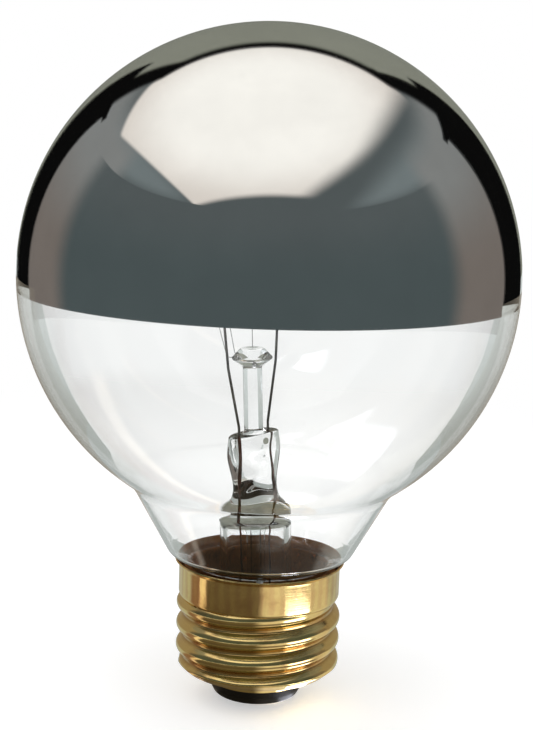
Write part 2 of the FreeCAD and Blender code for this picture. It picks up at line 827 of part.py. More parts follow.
def make_cement(side_lead):
    ring = turned("cement_ring", [
        (NECK_RADIUS, f"{CEMENT_TOP} - cement_height"),
        (f"{COLLAR_RADIUS} - shell_wall", f"{CEMENT_TOP} - cement_height"),
        (f"{COLLAR_RADIUS} - shell_wall", CEMENT_TOP),
        (NECK_RADIUS, CEMENT_TOP),
    ])
    return cut("basing_cement", ring, side_lead)


def make_side_weld(shell, envelope, side_lead):
    """A bead on the rim, where the side lead ends."""
    bead = doc.addObject("Part::Sphere", "weld_bead")
    bind(bead, "Radius", "weld_radius")
    bind(bead, "Placement",
         f"placement(vector(0; 0; {SEAL}); rotation(vector(0; 1; 0); -stem_lean))"
         f" * placement(vector(side_shift; weld_inset - ({RIM_RADIUS}); {RIM} - ({SEAL}));"
         " rotation(vector(0; 0; 1); 0))")
    return cut("side_weld", bead, shell, envelope, side_lead)


shell = make_screw_shell()
envelope = make_envelope()
crown = make_crown()
seal_wires = [make_seal_wire(side) for side in SIDES]
inner_leads = [make_inner_lead(side) for side in SIDES]
outer_leads = make_outer_leads()
coil = make_coil()
support_blanks = [make_support_wire(number) for number in range(1, SUPPORT_COUNT + 1)]
pieces = [
    shell,
    envelope,
    crown,
    *seal_wires,
    *inner_leads,
    *outer_leads,
    make_stem(seal_wires),
    make_exhaust_tube(),
    make_support_rod(support_blanks),
    cut("filament", coil, *inner_leads),
    *(cut(f"support_wire_{number}", blank, coil)
      for number, blank in enumerate(support_blanks, start=1)),
    make_insulator(),
    make_contact_plate(),
    make_tip_solder(outer_leads[1]),
    make_cement(outer_leads[0]),
    make_side_weld(shell, envelope, outer_leads[0]),
]
doc.recompute()

failed = [item.Label for item in doc.Objects if {"Invalid", "Error"} & set(item.State)]
if failed:
    raise SystemExit(f"These objects failed: {', '.join(failed)}")
for piece in pieces:
    if piece.Shape.isNull() or not piece.Shape.isValid():
        raise SystemExit(f"{piece.Label} has no valid shape")
for piece in pieces:
    piece.Shape.exportStep(f"parts/{piece.Label}.step")
    print(f"{piece.Label}: {len(piece.Shape.Solids)} solid, {piece.Shape.Volume:.2f} mm3")
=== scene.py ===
import math

import bmesh
import bpy
from mathutils import Matrix, Vector


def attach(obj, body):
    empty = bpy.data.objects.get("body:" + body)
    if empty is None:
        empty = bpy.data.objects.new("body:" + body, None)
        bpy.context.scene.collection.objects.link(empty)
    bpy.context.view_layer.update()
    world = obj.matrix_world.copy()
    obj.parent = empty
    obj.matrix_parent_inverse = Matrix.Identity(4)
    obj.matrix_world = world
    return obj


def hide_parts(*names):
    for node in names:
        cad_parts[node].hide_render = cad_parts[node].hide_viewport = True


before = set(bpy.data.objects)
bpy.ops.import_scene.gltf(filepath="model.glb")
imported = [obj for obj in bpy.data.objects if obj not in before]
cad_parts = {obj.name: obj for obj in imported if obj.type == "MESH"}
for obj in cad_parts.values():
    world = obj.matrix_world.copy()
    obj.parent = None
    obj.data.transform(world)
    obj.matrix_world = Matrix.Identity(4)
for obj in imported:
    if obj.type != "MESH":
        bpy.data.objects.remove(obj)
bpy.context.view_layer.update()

# The silver crown globe lamp: blown glass, mirror film, glass stem, wires and screw base.
# The lamp's sizes are in millimetres and become metres where a piece is made. The cards
# and lamps of the studio are placed in metres.
MM = 0.001

# globe and neck
GLOBE_HEIGHT = 70.1
GLOBE_RADIUS = 39.7
GLASS_WALL = 0.7
THROAT_ROUND = 6.0
CONE_TOP = (19.9, 34.0)
HIP = (15.1, 25.3)
NECK_RADIUS = 11.3
NECK_TOP = 23.4
NECK_END = 11.0
CROWN_EDGE = 67.7
FILM_THICKNESS = 0.1

# screw shell
SHELL_WALL = 0.25
LIP = 3.5
SHOULDER = 4.3
THREAD_FOOT = 5.75
THREAD_HEAD = 17.3
COLLAR = 18.2
FLARE = 23.2
RIM = 23.9
LIP_RADIUS = 7.8
ROOT_RADIUS = 12.05
COLLAR_RADIUS = 12.95
RIM_RADIUS = 13.7
PITCH = 3.629
CREST_PEAK = 1.7
CREST_FOOT = 1.45
CREST_ROUND = 0.95
VALLEY_ROUND = 0.65
FIRST_CREST = 4.5
FIRST_CREST_TURN = 90.0
THREAD_TURNS = 3.6

# black glass and tip contact
INSULATOR_FOOT = 1.0
INSULATOR_FOOT_RADIUS = 6.9
INSULATOR_HEAD = 2.2
INSULATOR_RADIUS = 7.5
INSULATOR_SEAT_RADIUS = 11.0
DISC_FOOT = 0.5
DISC_HEAD = 0.98
DISC_HOLE = 0.9
DISC_RADIUS = 4.1
DISC_EDGE_RADIUS = 4.6
SOLDER_FLAT_RADIUS = 1.4
SOLDER_RADIUS = 2.2
SOLDER_PLUG_RADIUS = 0.8

# cement ring and side weld
CEMENT_FOOT = 18.6
CEMENT_TOP = 22.6
CEMENT_RADIUS = 12.5
CEMENT_GAP = 0.03
WELD_RADIUS = 0.45

# stem, in its own frame: it stands on the seal and leans a little
SEAL = 12.0
STEM_LEAN = 2.9
PRESS_TURN = 45.0
TUBE_RADIUS = 5.85
TUBE_WALL = 1.0
TUBE_LENGTH = 19.6
FLARE_RADIUS = 10.5
BORE_TOP = 19.0
PUMP_HEAD_RADIUS = 1.75
PUMP_RADIUS = 1.5
PUMP_BORE = 0.9
PUMP_BEND = -3.0
PUMP_TIP = -4.6
PRESS_TOP = 32.8
ROD_RADIUS = 1.55
BUTTON_FOOT = 43.8
BUTTON_BELLY = 45.1
BUTTON_TOP = 46.7
BUTTON_RADIUS = 3.43
BUTTON_TOP_RADIUS = 1.9
FILAMENT_HEIGHT = 55.0
FILAMENT_REACH = 6.3
COIL_RADIUS = 0.265
COIL_WIRE_RADIUS = 0.035

# camera
FOCAL_LENGTH = 74.1
CAMERA_PLACE = (0, -237.565, 98.186)
CAMERA_AIM = (0, 0, 55)
CAMERA_ROLL = 1.9
CAMERA_SHIFT = (0.0007, 0.00793)


# Tools for meshes

class Outline:
    """A half outline in the XZ plane, in millimetres, drawn from point to point."""

    def __init__(self, across, up):
        self.mesh = bmesh.new()
        self.start = self.end = Vector((across * MM, 0, up * MM))
        self.mesh.verts.new(self.start)
        self.corners = []

    def at(self, place):
        """The vertex nearest to a place."""
        return min(self.mesh.verts, key=lambda vert: (vert.co - place).length)

    def run(self, across, up, pieces=1, rounded=0):
        """A straight run to a point, which is rounded later if it has a radius."""
        start = self.at(self.end)
        self.end = Vector((across * MM, 0, up * MM))
        edge = self.mesh.edges.new((start, self.mesh.verts.new(self.end)))
        if pieces > 1:
            bmesh.ops.subdivide_edges(self.mesh, edges=[edge], cuts=pieces - 1)
        if rounded:
            self.corners.append((self.end, rounded * MM))
        return self

    def swing(self, across, up, degrees, pieces):
        """An arc about a centre, turning from +Z towards +X for a positive angle."""
        made = bmesh.ops.spin(self.mesh, geom=[self.at(self.end)],
                              cent=(across * MM, 0, up * MM), axis=(0, 1, 0), dvec=(0, 0, 0),
                              angle=math.radians(degrees), steps=pieces, use_duplicate=False)
        last = [item for item in made["geom_last"] if isinstance(item, bmesh.types.BMVert)]
        self.end = last[0].co.copy()
        return self

    def close(self):
        """A last run back to the first point."""
        self.mesh.edges.new((self.at(self.end), self.at(self.start)))
        return self

    def round_corners(self):
        """Rounds the marked corners."""
        for place, radius in self.corners:
            corner = self.at(place)
            near, far = [edge.other_vert(corner).co - place for edge in corner.link_edges]
            reach = radius / math.tan(near.angle(far) / 2)
            bmesh.ops.bevel(self.mesh, geom=[corner], offset=reach, offset_type="OFFSET",
                            segments=6, profile=0.5, affect="VERTICES", material=-1)
        return self

    def turned(self, steps):
        """The outline spun all the way round, with its seam and poles closed."""
        mesh = self.round_corners().mesh
        bmesh.ops.spin(mesh, geom=mesh.verts[:] + mesh.edges[:], cent=(0, 0, 0), axis=(0, 0, 1),
                       dvec=(0, 0, 0), angle=2 * math.pi, steps=steps, use_merge=True,
                       use_duplicate=False)
        bmesh.ops.remove_doubles(mesh, verts=mesh.verts[:], dist=1e-7)
        bmesh.ops.recalc_face_normals(mesh, faces=mesh.faces[:])
        return mesh


def piece(name, mesh, finish, slot, *nodes, wall=0):
    """Makes the object, gives it its finish and hides the nodes that it stands for."""
    for face in mesh.faces:
        face.smooth = True
    for edge in mesh.edges:
        edge.smooth = not edge.is_boundary
    data = bpy.data.meshes.new(name)
    mesh.to_mesh(data)
    mesh.free()
    item = bpy.data.objects.new(name, data)
    bpy.context.scene.collection.objects.link(item)
    data.materials.append(finish)
    if wall:
        thickness = item.modifiers.new("wall", "SOLIDIFY")
        thickness.thickness = wall * MM
        thickness.offset = -1
        thickness.use_even_offset = True
    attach(item, "root")
    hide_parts(*nodes)
    return item


# Finishes

def srgb(red, green, blue):
    """A colour as the screen shows it, 0 to 255, made linear."""
    def linear(part):
        part /= 255
        return part / 12.92 if part <= 0.04045 else ((part + 0.055) / 1.055) ** 2.4
    return (linear(red), linear(green), linear(blue), 1)


class Value:
    """A number on the surface; expressions on it add the Math nodes."""

    def __init__(self, finish, socket):
        self.finish = finish
        self.socket = socket

    def math(self, operation, *others):
        """A Math node with this value as its first number."""
        values = dict(enumerate((self, *others)))
        return self.finish.add("ShaderNodeMath", {"operation": operation}, values)

    def __add__(self, other):
        return self.math("ADD", other)

    def __radd__(self, other):
        return self.math("ADD", other)

    def __sub__(self, other):
        return self.math("SUBTRACT", other)

    def __rsub__(self, other):
        return self.finish.add("ShaderNodeMath", {"operation": "SUBTRACT"}, {0: other, 1: self})

    def __mul__(self, other):
        return self.math("MULTIPLY", other)

    def __rmul__(self, other):
        return self.math("MULTIPLY", other)

    def __truediv__(self, other):
        return self.math("DIVIDE", other)

    def __pow__(self, other):
        return self.math("POWER", other)

    def above(self, low, high):
        """0 below low, 1 above high, and smooth between."""
        return self.finish.add("ShaderNodeMapRange", {"interpolation_type": "SMOOTHSTEP"},
                               {"Value": self, "From Min": low, "From Max": high})


class Finish:
    """A material and the nodes that give it its detail."""

    def __init__(self, name, **constants):
        self.material = bpy.data.materials.new(name)
        self.material.use_nodes = True
        self.tree = self.material.node_tree
        self.shader = self.tree.nodes["Principled BSDF"]
        self.output = self.tree.nodes["Material Output"]
        self.place = self.add("ShaderNodeTexCoord", output="Object")
        for key, value in constants.items():
            socket = key.replace("_", " ").title().replace("Ior", "IOR")
            self.shader.inputs[socket].default_value = value

    def add(self, kind, settings=None, values=None, output=0):
        """Any node: its settings are set first, then its sockets; gives one output."""
        node = self.tree.nodes.new(kind)
        for key, value in (settings or {}).items():
            setattr(node, key, value)
        for key, value in (values or {}).items():
            if isinstance(value, Value):
                self.tree.links.new(value.socket, node.inputs[key])
            else:
                node.inputs[key].default_value = value
        return Value(self, node.outputs[output])

    def feed(self, **links):
        """Links values to the shader's sockets."""
        for key, value in links.items():
            self.tree.links.new(value.socket, self.shader.inputs[key.replace("_", " ").title()])

    def stretched(self, across, along, up):
        """The object's place, in millimetres, stretched to set a pattern's grain."""
        scale = (across / MM, along / MM, up / MM)
        return self.add("ShaderNodeMapping", {}, {"Vector": self.place, "Scale": scale})

    def noise(self, size, detail=3.0, roughness=0.55, grain=(1, 1, 1)):
        """Soft blotches about one size in millimetres across."""
        vector = self.stretched(*(part / size for part in grain))
        return self.add("ShaderNodeTexNoise", {}, {
            "Vector": vector, "Scale": 1.0, "Detail": detail, "Roughness": roughness})

    def axes(self):
        """The place's X, Y and Z, in millimetres."""
        parts = self.add("ShaderNodeSeparateXYZ", {}, {0: self.stretched(1, 1, 1)})
        node = parts.socket.node
        return [Value(self, socket) for socket in node.outputs]

    def mix(self, share, first, second):
        """One colour fading to another."""
        return self.add("ShaderNodeMix", {"data_type": "RGBA"}, {0: share, 6: first, 7: second},
                        output=2)

    def bump(self, height, depth):
        """A Bump node, with its depth in millimetres."""
        return self.add("ShaderNodeBump", {}, {"Height": height, "Distance": depth * MM})


def clear_glass(name, tint, waviness, wave_size, bending=1.5, thin=False):
    """Blown glass: clear, with slow waves on its surface; shadows pass through it.

    Thin glass bends what is behind it at its edges alone.
    """
    finish = Finish(name, base_color=tint, roughness=0.0, ior=bending, transmission_weight=1.0)
    waves = finish.noise(wave_size, detail=1.0)
    finish.feed(normal=finish.bump(waves, waviness))
    unbent = finish.add("ShaderNodeLightPath", output="Is Shadow Ray")
    if thin:
        edge = finish.add("ShaderNodeLayerWeight", {}, {"Blend": 0.5}, output="Facing")
        unbent = unbent.math("MAXIMUM", 1 - edge.above(0.5, 0.95))
    bare = finish.add("ShaderNodeBsdfTransparent", {}, {"Color": tint})
    glass = Value(finish, finish.shader.outputs[0])
    seen = finish.add("ShaderNodeMixShader", {}, {0: unbent, 1: glass, 2: bare})
    finish.tree.links.new(seen.socket, finish.output.inputs["Surface"])
    return finish.material


def mirror_film():
    """Bright aluminium on blown glass, with a few faint clouds in it."""
    finish = Finish("mirror_film", metallic=1.0)
    clouds = finish.noise(9.0, detail=4.0)
    finish.feed(base_color=finish.mix(clouds, srgb(222, 221, 218), srgb(240, 239, 236)),
                roughness=0.012 + 0.02 * clouds.above(0.45, 0.75),
                normal=finish.bump(finish.noise(26.0, detail=0.0), 0.05))
    return finish.material


def rolled_brass():
    """Thin drawn brass: bright outside, brown inside, painted brown shade in the roots, drawing
    lines.
    """
    finish = Finish("rolled_brass")
    x, y, z = finish.axes()
    radius = (x * x + y * y) ** 0.5
    turn = x.math("ARCTAN2", y)
    normal = finish.add("ShaderNodeNewGeometry", output="True Normal")
    facing = finish.add("ShaderNodeVectorMath", {"operation": "DOT_PRODUCT"},
                        {0: normal, 1: finish.stretched(1, 1, 0)}, output="Value")
    inside = 1 - (facing / radius).above(-0.25, -0.05)
    # painted shade: the thread's roots are darkened, for the dark lines in its valleys
    root = 1 - radius.above(ROOT_RADIUS - 0.1, ROOT_RADIUS + 0.8)
    thread = z.above(THREAD_FOOT - 0.5, THREAD_FOOT + 0.5) * (1 - z.above(THREAD_HEAD, COLLAR))
    collar = z.above(COLLAR, COLLAR + 0.6)
    lines = finish.noise(0.25, detail=4.0, grain=(0.04, 0.04, 1))
    stains = finish.noise(5.0, detail=5.0, roughness=0.6)
    specks = finish.noise(0.45, detail=3.0, roughness=0.7)
    streaks = (turn * 46 + stains * 5).math("SINE").above(-1, 1)
    # stains and specks are the brass's own; the darkening in the roots is painted shade
    stains_and_root_shade = root * thread * 0.75 + stains.above(0.55, 0.75) * 0.3 + specks.above(0.62, 0.75) * 0.2
    bright = finish.mix(lines, srgb(240, 212, 140), srgb(250, 226, 158))
    warm = finish.mix(stains.above(0.4, 0.65), bright, srgb(236, 204, 138))
    outer = finish.mix(stains_and_root_shade.math("MINIMUM", 0.85), warm, srgb(142, 86, 34))
    pinked = finish.mix(collar * streaks * 0.3, outer, srgb(206, 158, 118))
    tarnish = finish.mix(specks, srgb(124, 68, 26), srgb(204, 126, 52))
    finish.feed(base_color=finish.mix(inside, pinked, tarnish), metallic=1 - 0.8 * inside,
                roughness=0.08 + 0.10 * stains + 0.10 * stains_and_root_shade + 0.3 * inside,
                normal=finish.bump(lines * 0.3 + streaks * collar * 0.4 + stains * 0.6, 0.025))
    return finish.material


def black_glass():
    """Opaque moulded glass, nearly black, with a soft flow and a few pits."""
    finish = Finish("black_glass", ior=1.52, specular_ior_level=0.15)
    flow = finish.noise(2.6, detail=4.0)
    finish.feed(base_color=finish.mix(flow, srgb(12, 10, 7), srgb(34, 29, 20)),
                roughness=0.38 + 0.22 * flow,
                normal=finish.bump(flow + finish.noise(0.5) * 0.2, 0.08))
    return finish.material


def baked_cement():
    """Brown basing cement: grainy, with darker and rustier patches."""
    finish = Finish("baked_cement")
    grain = finish.noise(0.5, detail=6.0, roughness=0.7)
    patches = finish.noise(3.0, detail=3.0)
    rust = finish.noise(1.1, detail=4.0).above(0.58, 0.68) * patches.above(0.4, 0.6)
    brown = finish.mix(grain, srgb(100, 58, 24), srgb(196, 126, 66))
    scorched = finish.mix(patches.above(0.5, 0.7) * 0.7, brown, srgb(58, 36, 18))
    finish.feed(base_color=finish.mix(rust, scorched, srgb(214, 110, 36)),
                roughness=0.7 + 0.25 * grain, normal=finish.bump(grain, 0.15))
    return finish.material


def drawn_wire(name, dull, bright, roughness):
    """Metal wire with drawing marks and an oxide that comes and goes."""
    finish = Finish(name, metallic=1.0)
    oxide = finish.noise(1.2, detail=3.0, grain=(1, 1, 0.3))
    finish.feed(base_color=finish.mix(oxide.above(0.35, 0.65), dull, bright),
                roughness=roughness + 0.15 * oxide,
                normal=finish.bump(finish.noise(0.08, grain=(1, 1, 0.1)), 0.01))
    return finish.material


def soft_solder():
    """Solder that froze in place: dull silver with a fine crust."""
    finish = Finish("soft_solder", metallic=1.0)
    crust = finish.noise(0.5, detail=5.0)
    finish.feed(base_color=finish.mix(crust, srgb(150, 148, 145), srgb(206, 205, 202)),
                roughness=0.25 + 0.3 * crust, normal=finish.bump(crust, 0.1))
    return finish.material


def stamped_brass():
    """Stamped brass, tinned toward the middle."""
    finish = Finish("stamped_brass", metallic=1.0)
    x, y, _ = finish.axes()
    radius = (x * x + y * y) ** 0.5
    blotch = finish.noise(0.8, detail=4.0)
    tinned = 1 - (radius + blotch).above(2.8, 3.6)
    brass = finish.mix(blotch, srgb(206, 172, 108), srgb(226, 196, 134))
    finish.feed(base_color=finish.mix(tinned, brass, srgb(190, 188, 184)),
                roughness=0.2 + 0.25 * blotch, normal=finish.bump(blotch, 0.04))
    return finish.material


# Glass globe and mirror

def throat_centre():
    """The centre of the hollow throat, which touches both the cone and the globe."""
    foot, top = Vector(HIP), Vector(CONE_TOP)
    along = (top - foot).normalized()
    outward = Vector((along.y, -along.x))
    globe = Vector((0, GLOBE_HEIGHT))
    offset = foot + outward * THROAT_ROUND - globe
    middle = offset.dot(along)
    reach = GLOBE_RADIUS + THROAT_ROUND
    travel = -middle - math.sqrt(middle ** 2 - offset.length_squared + reach ** 2)
    return globe + offset + along * travel, outward


def make_globe():
    """The globe from its pole down to the neck's sealed end, one wall thick."""
    centre, outward = throat_centre()
    drop = centre - Vector((0, GLOBE_HEIGHT))
    globe_swing = math.degrees(math.atan2(drop.x, drop.y))
    back = -drop
    throat_swing = math.degrees(math.atan2(back.x, back.y) - math.atan2(-outward.x, -outward.y))
    outline = Outline(0, GLOBE_HEIGHT + GLOBE_RADIUS)
    outline.swing(0, GLOBE_HEIGHT, globe_swing, 72)
    outline.swing(*centre, (180 - throat_swing) % 360 - 180, 10)
    outline.run(*HIP, rounded=2.0)
    outline.run(NECK_RADIUS, NECK_TOP, rounded=1.0)
    outline.run(NECK_RADIUS, NECK_END, pieces=6)
    glass = clear_glass("blown_glass", (0.985, 0.992, 0.99, 1), 0.03, 18.0)
    return piece("globe_glass", outline.turned(192), glass, "clear_glass", "glass_envelope",
                 wall=GLASS_WALL)


def make_crown():
    """The mirror film; it reaches a hair into the glass, as a fired film does."""
    radius = GLOBE_RADIUS - GLASS_WALL + FILM_THICKNESS / 2
    sweep = 90 + math.degrees(math.asin((GLOBE_HEIGHT - CROWN_EDGE) / radius))
    outline = Outline(0, GLOBE_HEIGHT + radius).swing(0, GLOBE_HEIGHT, sweep, 72)
    return piece("mirror_crown", outline.turned(192), mirror_film(), "mirror_film",
                 "silver_crown", wall=FILM_THICKNESS)


# Screw shell and foot

def crest_height(offset):
    """How far the rolled thread stands out, at a distance along the axis from its crest."""
    slope = math.atan2(CREST_PEAK, CREST_FOOT)
    offset = abs(offset)
    top = CREST_PEAK - CREST_ROUND / math.cos(slope)
    valley = CREST_FOOT + VALLEY_ROUND * math.tan(slope / 2)
    if offset < CREST_ROUND * math.sin(slope):
        return top + math.sqrt(CREST_ROUND ** 2 - offset ** 2)
    if offset < valley - VALLEY_ROUND * math.sin(slope):
        return (CREST_FOOT - offset) * math.tan(slope)
    if offset < valley:
        return VALLEY_ROUND - math.sqrt(VALLEY_ROUND ** 2 - (valley - offset) ** 2)
    return 0


def smoothly(share):
    """0 to 1 with soft ends."""
    share = min(max(share, 0), 1)
    return share * share * (3 - 2 * share)


def thread_radius(turn, height):
    """The rolled thread's radius at a place on the shell, with both of its ends faded."""
    rise = 0
    for lap in range(5):
        travel = (turn - FIRST_CREST_TURN) % 360 / 360 + lap
        crest = FIRST_CREST + travel * PITCH
        fade = 1 - smoothly((travel - THREAD_TURNS + 0.2) / 0.45)
        rise = max(rise, crest_height(height - crest) * fade)
    lead_in = (height - THREAD_FOOT) * 1.1
    run_out = 1.7 - (height - THREAD_HEAD + 1.0) * 0.48
    return ROOT_RADIUS + min(rise, max(lead_in, 0), run_out)


def make_shell():
    """The rolled shell: lip, shoulder, thread, collar and turned-out rim."""
    outline = Outline(LIP_RADIUS, LIP)
    outline.run(LIP_RADIUS, SHOULDER, pieces=3, rounded=0.3)
    outline.run(ROOT_RADIUS, THREAD_FOOT, pieces=6, rounded=1.1)
    outline.run(ROOT_RADIUS, THREAD_HEAD, pieces=110, rounded=0.6)
    outline.run(COLLAR_RADIUS, COLLAR, pieces=6, rounded=0.6)
    outline.run(COLLAR_RADIUS, FLARE, pieces=10, rounded=0.4)
    outline.run(RIM_RADIUS, RIM, pieces=3)
    mesh = outline.turned(288)
    for corner in mesh.verts:
        height = corner.co.z / MM
        if THREAD_FOOT < height < COLLAR:
            radius = corner.co.xy.length / MM
            turn = math.degrees(math.atan2(corner.co.y, corner.co.x))
            share = max(thread_radius(turn, height) / radius, 1)
            corner.co.x *= share
            corner.co.y *= share
    return piece("rolled_shell", mesh, rolled_brass(), "brass_shell", "screw_shell",
                 wall=SHELL_WALL)


def make_foot():
    """Black glass moulded into the foot of the shell."""
    outline = Outline(0, INSULATOR_FOOT)
    outline.run(INSULATOR_FOOT_RADIUS, INSULATOR_FOOT, pieces=4, rounded=0.7)
    outline.run(INSULATOR_RADIUS, INSULATOR_HEAD, pieces=2, rounded=0.7)
    outline.run(INSULATOR_RADIUS, LIP + 0.5, pieces=3)
    outline.run(INSULATOR_RADIUS, SHOULDER + 0.3)
    outline.run(INSULATOR_SEAT_RADIUS, THREAD_FOOT + 0.3)
    outline.run(0, THREAD_FOOT + 0.9)
    return piece("black_foot", outline.turned(96), black_glass(), "black_glass",
                 "base_insulator")


def make_contact():
    """The brass disc, a little dished, and the solder on it."""
    disc = Outline(DISC_HOLE, DISC_FOOT)
    disc.run(DISC_RADIUS, DISC_FOOT, pieces=3, rounded=0.2)
    disc.run(DISC_EDGE_RADIUS, DISC_HEAD)
    disc.run(DISC_HOLE, DISC_HEAD)
    disc.close()
    piece("contact_disc", disc.turned(96), stamped_brass(), "brass_contact", "contact_plate")
    drop = Outline(0, 0)
    drop.run(SOLDER_FLAT_RADIUS, 0, pieces=2, rounded=0.5)
    drop.run(SOLDER_RADIUS, DISC_FOOT, rounded=0.2)
    drop.run(SOLDER_PLUG_RADIUS, DISC_FOOT + 0.05)
    drop.run(SOLDER_PLUG_RADIUS, 0.9)
    drop.run(0, 0.9)
    piece("solder_drop", drop.turned(64), soft_solder(), "solder", "tip_solder")


def make_cement():
    """The ring of cement between neck and shell, with a slightly sloping top."""
    bore = NECK_RADIUS + CEMENT_GAP
    outline = Outline(bore, CEMENT_FOOT)
    outline.run(CEMENT_RADIUS, CEMENT_FOOT, pieces=2)
    outline.run(CEMENT_RADIUS, CEMENT_TOP, pieces=8)
    outline.run(bore, CEMENT_TOP + 0.15, pieces=3)
    outline.run(bore, CEMENT_FOOT + 0.01, pieces=8)
    outline.close()
    return piece("cement_ring", outline.turned(160), baked_cement(), "cement", "basing_cement")


def make_weld():
    """The bead that holds the side lead on the rim."""
    mesh = bmesh.new()
    bmesh.ops.create_icosphere(mesh, subdivisions=4, radius=WELD_RADIUS * MM)
    for corner in mesh.verts:
        corner.co *= 1 + 0.12 * math.sin(corner.co.x / MM * 7) * math.cos(corner.co.z / MM * 6)
    bmesh.ops.scale(mesh, vec=(1.25, 0.9, 0.6), verts=mesh.verts[:])
    bmesh.ops.translate(mesh, vec=(0.1 * MM, -(RIM_RADIUS - 0.3) * MM, (RIM + 0.08) * MM),
                        verts=mesh.verts[:])
    return piece("rim_weld", mesh, soft_solder(), "solder", "side_weld")


# Glass stem and wires

STEM_PLACE = (Matrix.Translation((0, 0, SEAL * MM))
              @ Matrix.Rotation(math.radians(-STEM_LEAN), 4, "Y")
              @ Matrix.Rotation(math.radians(PRESS_TURN), 4, "Z"))
# height, half width and half thickness of the press, from the tube up
PRESS_STATIONS = [
    (TUBE_LENGTH, 5.85, 5.85),
    (21.8, 4.3, 3.3),
    (24.2, 4.1, 2.45),
    (29.6, 5.4, 2.2),
    (PRESS_TOP, 5.0, 2.2),
]


def press_half(height, side):
    """Half the width (side 1) or half the thickness (side 2) of the press at a height."""
    slopes = [0.0]
    for before, after in zip(PRESS_STATIONS, PRESS_STATIONS[2:]):
        slopes.append((after[side] - before[side]) / (after[0] - before[0]))
    slopes.append(0.0)
    for index, (low, high) in enumerate(zip(PRESS_STATIONS, PRESS_STATIONS[1:])):
        if height <= high[0]:
            break
    span = high[0] - low[0]
    share = min(max((height - low[0]) / span, 0), 1)
    blend = smoothly(share)
    bow = share * (1 - share) * span
    return (low[side] * (1 - blend) + high[side] * blend
            + bow * ((1 - share) * slopes[index] - share * slopes[index + 1]))


def jaw_mark(across, height):
    """How much of the press's thickness the two hollows of the jaws take away."""
    upper = math.exp(-((across - 1.9) / 2.3) ** 2 - ((height - 29.9) / 2.1) ** 2)
    lower = math.exp(-((across + 1.3) / 2.2) ** 2 - ((height - 25.4) / 1.8) ** 2)
    return 0.42 * upper + 0.24 * lower


def pinch(mesh):
    """Presses the top of the tube flat between the jaws."""
    for corner in mesh.verts:
        height, radius = corner.co.z / MM, corner.co.xy.length / MM
        if TUBE_LENGTH < height <= PRESS_TOP + 0.01 and radius > ROD_RADIUS:
            width, thickness = press_half(height, 1), press_half(height, 2)
            turn = math.atan2(corner.co.y, corner.co.x)
            square = 2.0 + 0.5 * smoothly((height - TUBE_LENGTH) / 4)
            edge = (abs(math.cos(turn) / width) ** square
                    + abs(math.sin(turn) / thickness) ** square)
            target = edge ** (-1 / square)
            moved = ROD_RADIUS + (radius - ROD_RADIUS) * (target - ROD_RADIUS) / (
                TUBE_RADIUS - ROD_RADIUS)
            corner.co.x *= moved / radius
            corner.co.y *= moved / radius
            corner.co.y *= 1 - jaw_mark(corner.co.x / MM, height)


def make_stem():
    """The flare, its tube, the pinched press, the rod and the button: one fused glass."""
    outline = Outline(0, BORE_TOP)
    outline.run(TUBE_RADIUS - TUBE_WALL, BORE_TOP, rounded=2.4)
    outline.run(TUBE_RADIUS - TUBE_WALL, -0.5, pieces=12, rounded=5.0)
    outline.run(FLARE_RADIUS, -0.5, rounded=0.1)
    outline.run(FLARE_RADIUS + 0.08, 0)
    outline.run(FLARE_RADIUS, 0.5, rounded=0.1)
    outline.run(TUBE_RADIUS, 0.5, rounded=4.0)
    outline.run(TUBE_RADIUS, TUBE_LENGTH, pieces=12)
    outline.run(TUBE_RADIUS, PRESS_TOP, pieces=28, rounded=0.9)
    outline.run(ROD_RADIUS, PRESS_TOP, pieces=6, rounded=0.5)
    outline.run(ROD_RADIUS, BUTTON_FOOT, pieces=10, rounded=0.6)
    outline.run(BUTTON_RADIUS, BUTTON_BELLY, pieces=2, rounded=0.3)
    outline.run(BUTTON_TOP_RADIUS, BUTTON_TOP, rounded=0.8)
    outline.run(0, BUTTON_TOP, pieces=4)
    mesh = outline.turned(96)
    pinch(mesh)
    bmesh.ops.transform(mesh, matrix=STEM_PLACE, verts=mesh.verts[:])
    glass = clear_glass("stem_glass", (0.985, 0.99, 0.99, 1), 0.07, 3.5, bending=1.36)
    return piece("fused_stem", mesh, glass, "stem_glass", "stem_flare", "support_rod")


def make_pump_tube():
    """The thin tube inside the stem, sealed and drawn off at its lower end."""
    tube = Outline(PUMP_BORE, BORE_TOP - 0.05)
    tube.run(PUMP_HEAD_RADIUS, BORE_TOP - 0.05, rounded=0.2)
    tube.run(PUMP_RADIUS, BORE_TOP - 2.6, rounded=3.0)
    tube.run(PUMP_RADIUS, PUMP_BEND, pieces=10, rounded=2.0)
    tube.run(0.3, PUMP_TIP, rounded=0.2)
    tube.run(0, PUMP_TIP)
    tube.run(0, PUMP_TIP + 0.8)
    tube.run(PUMP_BORE, PUMP_BEND, rounded=1.0)
    tube.close()
    mesh = tube.turned(48)
    bmesh.ops.transform(mesh, matrix=STEM_PLACE, verts=mesh.verts[:])
    drawn = clear_glass("tube_glass", (0.95, 0.965, 0.96, 1), 0.02, 6.0, thin=True)
    return piece("pump_tube", mesh, drawn, "stem_glass", "exhaust_tube")


